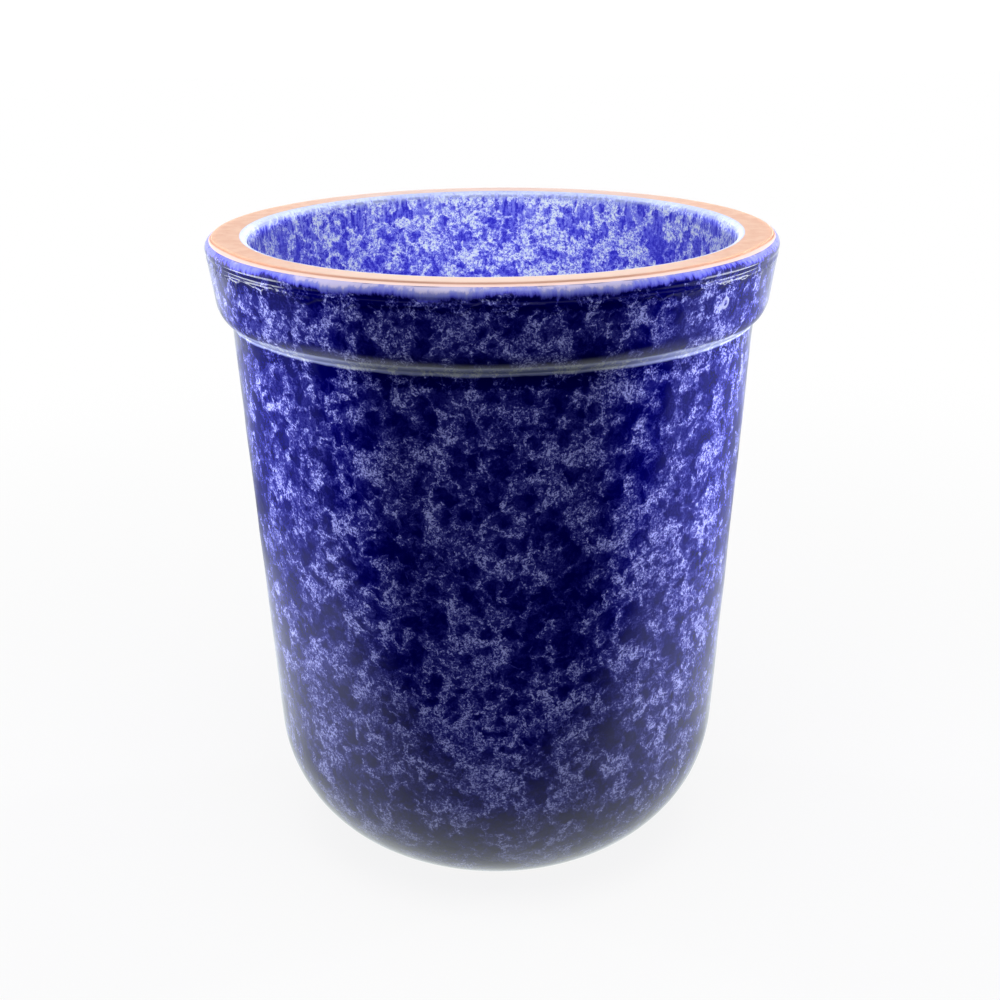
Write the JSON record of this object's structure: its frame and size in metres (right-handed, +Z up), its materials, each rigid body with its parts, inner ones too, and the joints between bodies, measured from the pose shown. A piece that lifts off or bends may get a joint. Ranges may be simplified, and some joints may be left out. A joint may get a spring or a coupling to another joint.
{
  "type": "utensil crock",
  "caption": "Round glazed terracotta crock for kitchen utensils, with a collar round the mouth, a bare flat rim, a tapered wall and a rounded base.",
  "frame": {"origin": "centre of the foot ring, on the surface that the crock stands on", "axes": "+Z up along the crock's axis to the mouth; +X and +Y are level and equivalent, because the crock is round"},
  "size_m": [0.156, 0.156, 0.1805],
  "materials": {
    "clay": "fired terracotta, bare and matt",
    "outer_glaze": "glossy cobalt blue glaze with a lacy white speckle",
    "inner_glaze": "glossy cobalt blue glaze with a dense white speckle"
  },
  "bodies": {
    "root": {"clay_body": "clay", "outer_glaze": "outer_glaze", "inner_glaze": "inner_glaze"}
  },
  "joints": []
}
